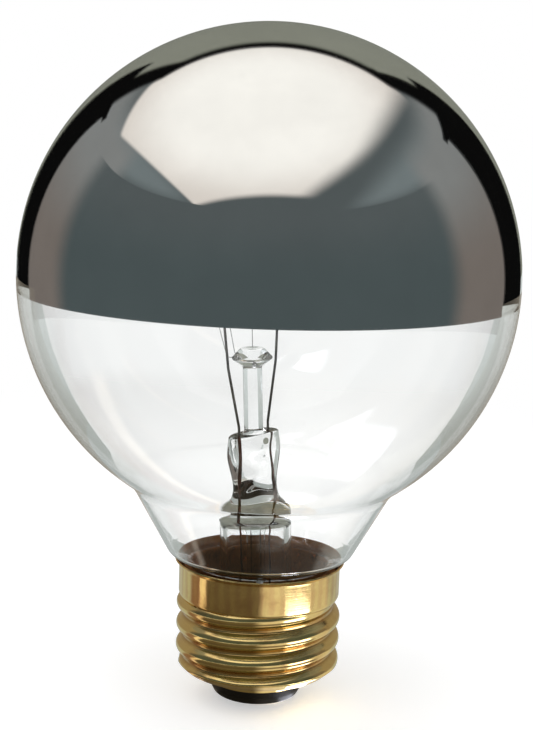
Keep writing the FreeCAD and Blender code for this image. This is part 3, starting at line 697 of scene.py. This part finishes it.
def make_filament():
    """A fine coil of tungsten on an arc from lead to lead."""
    turns, per_turn = 150, 10
    curve = bpy.data.curves.new("filament_path", "CURVE")
    curve.dimensions = "3D"
    curve.bevel_depth = COIL_WIRE_RADIUS * MM
    curve.bevel_resolution = 1
    spline = curve.splines.new("POLY")
    spline.points.add(turns * per_turn)
    for index, point in enumerate(spline.points):
        sweep = math.pi * index / (turns * per_turn)
        twist = 2 * math.pi * index / per_turn
        reach = FILAMENT_REACH + COIL_RADIUS * math.cos(twist)
        sag = 0.15 * math.sin(sweep * 4) ** 2
        place = Vector((reach * math.cos(sweep), reach * math.sin(sweep),
                        FILAMENT_HEIGHT - sag + COIL_RADIUS * math.sin(twist)))
        point.co = (*(STEM_PLACE @ (place * MM)), 1)
    shape = bpy.data.objects.new("filament_shape", curve)
    mesh = bmesh.new()
    mesh.from_mesh(bpy.data.meshes.new_from_object(shape))
    bpy.data.objects.remove(shape)
    finish = drawn_wire("tungsten", srgb(70, 70, 74), srgb(110, 110, 114), 0.35)
    return piece("filament_coil", mesh, finish, "tungsten_wire", "filament")


def dress_wires():
    """The wires keep their solids and get the metals they are drawn from."""
    nickel = drawn_wire("nickel", srgb(66, 66, 64), srgb(112, 110, 106), 0.35)
    copper = drawn_wire("bare_copper", srgb(82, 56, 44), srgb(128, 86, 64), 0.35)
    sealing = drawn_wire("sealing_wire", srgb(60, 40, 40), srgb(98, 62, 54), 0.35)
    molybdenum = drawn_wire("molybdenum", srgb(196, 196, 200), srgb(228, 228, 232), 0.15)
    metals = {
        "inner_lead_left": nickel,
        "inner_lead_right": nickel,
        "outer_lead_side": copper,
        "outer_lead_centre": copper,
        "seal_wire_left": sealing,
        "seal_wire_right": sealing,
        "support_wire_1": molybdenum,
        "support_wire_2": molybdenum,
        "support_wire_3": molybdenum,
    }
    for name, metal in metals.items():
        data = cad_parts[name].data
        data.materials.clear()
        data.materials.append(metal)


# Studio

def make_camera():
    """The photograph's viewpoint: close to the lamp, and a little above the crown's edge."""
    lens = bpy.data.cameras.new("camera")
    lens.sensor_width = 36
    lens.lens = FOCAL_LENGTH
    lens.shift_x, lens.shift_y = CAMERA_SHIFT
    camera = bpy.data.objects.new("camera", lens)
    place = Vector(CAMERA_PLACE) * MM
    sight = (Vector(CAMERA_AIM) * MM - place).to_track_quat("-Z", "Y").to_matrix().to_4x4()
    roll = Matrix.Rotation(math.radians(CAMERA_ROLL), 4, "Z")
    camera.matrix_world = Matrix.Translation(place) @ sight @ roll
    bpy.context.scene.collection.objects.link(camera)
    bpy.context.scene.camera = camera


def make_world():
    """White behind everything, and a plain middle gray as room light."""
    world = bpy.data.worlds.new("studio")
    bpy.context.scene.world = world
    world.use_nodes = True
    tree = world.node_tree
    tree.nodes.clear()
    room = tree.nodes.new("ShaderNodeBackground")
    room.inputs["Color"].default_value = (0.5, 0.5, 0.5, 1)
    white = tree.nodes.new("ShaderNodeBackground")
    white.inputs["Color"].default_value = (1, 1, 1, 1)
    path = tree.nodes.new("ShaderNodeLightPath")
    seen = tree.nodes.new("ShaderNodeMath")
    seen.operation = "ADD"
    shown = tree.nodes.new("ShaderNodeMath")
    shown.operation = "ADD"
    shown.use_clamp = True
    mix = tree.nodes.new("ShaderNodeMixShader")
    output = tree.nodes.new("ShaderNodeOutputWorld")
    tree.links.new(path.outputs["Is Camera Ray"], seen.inputs[0])
    tree.links.new(path.outputs["Is Glossy Ray"], seen.inputs[1])
    tree.links.new(seen.outputs[0], shown.inputs[0])
    tree.links.new(path.outputs["Is Transmission Ray"], shown.inputs[1])
    tree.links.new(shown.outputs[0], mix.inputs[0])
    tree.links.new(room.outputs[0], mix.inputs[1])
    tree.links.new(white.outputs[0], mix.inputs[2])
    tree.links.new(mix.outputs[0], output.inputs["Surface"])


def stage_item(name, mesh, finish):
    """A floor or a card, which is no part of the lamp."""
    data = bpy.data.meshes.new(name)
    mesh.to_mesh(data)
    mesh.free()
    data.materials.append(finish)
    item = bpy.data.objects.new(name, data)
    bpy.context.scene.collection.objects.link(item)
    return item


def only_reflected(item):
    """A card that mirror, brass and glass show, and nothing else."""
    item.visible_camera = False
    item.visible_diffuse = False
    item.visible_shadow = False


def make_floor():
    """A pale table that the camera sees as white, with the lamp's shadow on it."""
    finish = Finish("pale_table", base_color=(0.8, 0.8, 0.8, 1), roughness=0.9,
                    specular_ior_level=0.0)
    camera = finish.add("ShaderNodeLightPath", output="Is Camera Ray")
    glossy = finish.add("ShaderNodeLightPath", output="Is Glossy Ray")
    through = finish.add("ShaderNodeLightPath", output="Is Transmission Ray")
    lit = Value(finish, finish.shader.outputs[0])
    glow = finish.add("ShaderNodeEmission", {}, {"Strength": 0.45})
    near = finish.add("ShaderNodeAddShader", {}, {0: lit, 1: glow})
    far = finish.add("ShaderNodeEmission", {}, {"Strength": 1.0})
    x, y, _ = finish.axes()
    distance = (x * x + y * y) ** 0.5
    white = finish.add("ShaderNodeMixShader", {}, {0: distance.above(110, 260), 1: near, 2: far})
    seen = finish.add("ShaderNodeMixShader", {}, {0: camera + glossy + through, 1: lit, 2: white})
    finish.tree.links.new(seen.socket, finish.output.inputs["Surface"])
    mesh = bmesh.new()
    bmesh.ops.create_circle(mesh, cap_ends=True, segments=96, radius=3.0)
    stage_item("table", mesh, finish.material)


def card_finish(name, colour_of):
    """A card that glows by itself, with its colour from a function of its finish."""
    finish = Finish(name)
    glow = finish.add("ShaderNodeEmission", {}, {"Color": colour_of(finish), "Strength": 1.0})
    finish.tree.links.new(glow.socket, finish.output.inputs["Surface"])
    return finish.material


# the softbox's corners on the ceiling, in millimetres, and how soft each edge is
SOFTBOX = [(-250, 245), (262, 245), (250, -170), (140, -405), (-335, -435), (-408, 120)]
SOFT_EDGES = [16, 60, 60, 30, 14, 18]

# colours that more than one card has
BLACK = (0.004, 0.004, 0.004, 1)
OLIVE = (0.27, 0.28, 0.235, 1)
SLATE = (0.10, 0.118, 0.123, 1)
PALE_END = (0.25, 0.26, 0.26, 1)


def ceiling_colour(finish):
    """A cream softbox on a slate ceiling, black behind it and olive at the far end."""
    x, y, _ = finish.axes()
    inside = 1
    for start, end, soft in zip(SOFTBOX, SOFTBOX[1:] + SOFTBOX[:1], SOFT_EDGES):
        along = (Vector(end) - Vector(start)).normalized()
        distance = (x - start[0]) * along.y - (y - start[1]) * along.x
        inside = distance.above(-soft / 2, soft) * inside
    far = ((x + 40) * (x + 40) + (y + 60) * (y + 60)) ** 0.5
    cream = finish.mix(far.above(150, 420), (1.15, 1.13, 1.09, 1), (0.84, 0.78, 0.73, 1))
    turn = x.math("ARCTAN2", y * -1).math("ABSOLUTE")
    radius = (x * x + y * y) ** 0.5
    beside = x.math("ABSOLUTE").above(280, 420) * (1 - radius.above(470, 580))
    slate = finish.mix(beside, SLATE, (0.19, 0.225, 0.235, 1))
    ends = finish.mix(turn.above(1.38, 1.62) * radius.above(300, 480), slate, PALE_END)
    lit = finish.mix(inside, ends, cream)
    behind = turn.above(2.33, 2.40) * y.above(215, 235)
    dark = finish.mix(behind, lit, BLACK)
    return finish.mix(turn.above(2.56, 2.62) * y.above(255, 300), dark, OLIVE)


def room_colour(finish):
    """Slate gray in front, warmer and lighter at the room's two ends."""
    x, y, z = finish.axes()
    turn = x.math("ARCTAN2", y * -1)
    side = turn.above(1.38, 1.62) + 1 - turn.above(-1.85, -1.60)
    high = z.above(90, 240)
    slate = finish.mix(high, (0.080, 0.103, 0.108, 1), SLATE)
    ends = finish.mix(high, (0.20, 0.175, 0.16, 1), PALE_END)
    return finish.mix(side, slate, ends)


def mat_colour(finish):
    """The table as metal and glass show it: a sheet that glows and that nothing else sees.

    It is brown on the left, dark by the foot as painted shade, and pale farther out. A bright
    sliver on the left, and a strip on the right six times brighter than white, are painted
    highlights for the brass.
    """
    x, y, _ = finish.axes()
    turn = x.math("ARCTAN2", y * -1)
    distance = (x * x + y * y) ** 0.5
    pale = finish.mix(distance.above(140, 300), (0.46, 0.49, 0.47, 1), (0.70, 0.74, 0.73, 1))
    left = finish.mix(turn.above(-1.9, -1.7), pale, (0.26, 0.17, 0.13, 1))
    # painted highlight: a bright sliver that the brass's collar mirrors
    sliver = finish.mix(turn.above(-1.50, -1.42), left, (1.0, 0.86, 0.70, 1))
    front = finish.mix(turn.above(-1.34, -1.26), sliver, (0.13, 0.11, 0.075, 1))
    middle = finish.mix(turn.above(-0.08, 0.24), front, (0.80, 0.77, 0.70, 1))
    # painted highlight: a strip six times brighter than white, mirrored on the thread's crests
    bright = (1 - distance.above(16, 20)) + distance.above(31, 37) * (1 - distance.above(55, 75))
    strip = finish.mix(bright, (0.70, 0.66, 0.60, 1), (6.0, 6.2, 7.0, 1))
    column = finish.mix(turn.above(0.62, 0.70), middle, strip)
    right = finish.mix(turn.above(1.12, 1.24), column, (0.66, 0.63, 0.56, 1))
    ends = finish.mix(turn.above(1.75, 2.0), right, pale)
    # painted shade: a dark ring on the table by the lamp's foot
    near = distance.above(18, 22) * (1 - distance.above(29, 36))
    near = near * (1 - turn.math("ABSOLUTE").above(1.2, 1.4))
    foot = finish.mix(near * 0.8, ends, (0.09, 0.075, 0.055, 1))
    front_half = 1 - turn.math("ABSOLUTE").above(1.6, 1.9)
    return finish.mix(distance.above(100, 135) * front_half, foot, (0.75, 0.76, 0.75, 1))


def wall_card(name, radius, first, last, low, high, finish):
    """A standing card on part of a circle round the lamp; azimuth 0 is the camera's side."""
    mesh = bmesh.new()
    start = math.radians(first)
    foot = mesh.verts.new((radius * math.sin(start), -radius * math.cos(start), low))
    head = mesh.verts.new((radius * math.sin(start), -radius * math.cos(start), high))
    mesh.edges.new((foot, head))
    bmesh.ops.spin(mesh, geom=mesh.verts[:] + mesh.edges[:], cent=(0, 0, 0), axis=(0, 0, 1),
                   dvec=(0, 0, 0), angle=math.radians(last - first), steps=48,
                   use_duplicate=False)
    item = stage_item(name, mesh, finish)
    only_reflected(item)
    return item


def make_studio():
    """The room that the lamp shows: a softbox above, dark walls, black flags and a mat.

    The mat is open behind the lamp, so the table shows through the clear glass.
    """
    ceiling = bmesh.new()
    bmesh.ops.create_circle(ceiling, cap_ends=True, segments=64, radius=2.5)
    bmesh.ops.translate(ceiling, vec=(0, 0, 0.42), verts=ceiling.verts[:])
    only_reflected(stage_item("ceiling", ceiling, card_finish("ceiling", ceiling_colour)))
    black = card_finish("black_flag", lambda finish: BLACK)
    olive = card_finish("olive_wall", lambda finish: OLIVE)
    for name, radius, first, last, low, high, finish in (
        ("room_front", 0.28, -128, 122, 0.0, 0.25, card_finish("room", room_colour)),
        ("flag_left", 0.29, -153, -125, 0.03, 0.27, black),
        ("flag_right", 0.29, 119, 150, 0.03, 0.27, black),
        ("wall_back", 0.34, 147, 209, 0.04, 0.43, olive),
    ):
        wall_card(name, radius, first, last, low, high, finish)
    brown = card_finish("brown_strip", lambda finish: (0.32, 0.28, 0.22, 1))
    wall_card("low_strip", 0.08, 100, 260, 0.0, 0.062, brown).visible_transmission = False
    mat = bmesh.new()
    wedge = [(0.28, 1.0), (0.134, 0.465), (0.094, 0.30), (0.067, 0.20), (0.046, 0.13),
             (0.041, 0.070)]
    corners = [(-1.0, -1.0), (1.0, -1.0), (1.0, 1.0), *wedge]
    corners += [(-x, y) for x, y in reversed(wedge)] + [(-1.0, 1.0)]
    mat.faces.new([mat.verts.new((x, y, 0.0005)) for x, y in corners])
    only_reflected(stage_item("mat", mat, card_finish("glowing_reflection_mat", mat_colour)))


def make_lamps():
    """One wide soft lamp above and two weaker ones at the sides, which nothing mirrors."""
    for name, place, size, power in (
        ("top_lamp", (-0.05, -0.05, 0.43), 0.66, 1.6),
        ("right_lamp", (0.35, -0.35, 0.16), 0.30, 0.35),
        ("left_lamp", (-0.40, -0.25, 0.16), 0.30, 0.25),
    ):
        light = bpy.data.lights.new(name, "AREA")
        light.size = size
        light.energy = power
        lamp = bpy.data.objects.new(name, light)
        lamp.location = place
        lamp.rotation_mode = "QUATERNION"
        lamp.rotation_quaternion = (Vector((0, 0, 0.04)) - Vector(place)).to_track_quat("-Z", "Y")
        lamp.visible_glossy = False
        lamp.visible_transmission = False
        bpy.context.scene.collection.objects.link(lamp)


make_globe()
make_crown()
make_shell()
make_foot()
make_contact()
make_cement()
make_weld()
make_stem()
make_pump_tube()
make_filament()
dress_wires()
make_camera()
make_world()
make_floor()
make_studio()
make_lamps()
bpy.context.scene.view_settings.view_transform = "Standard"
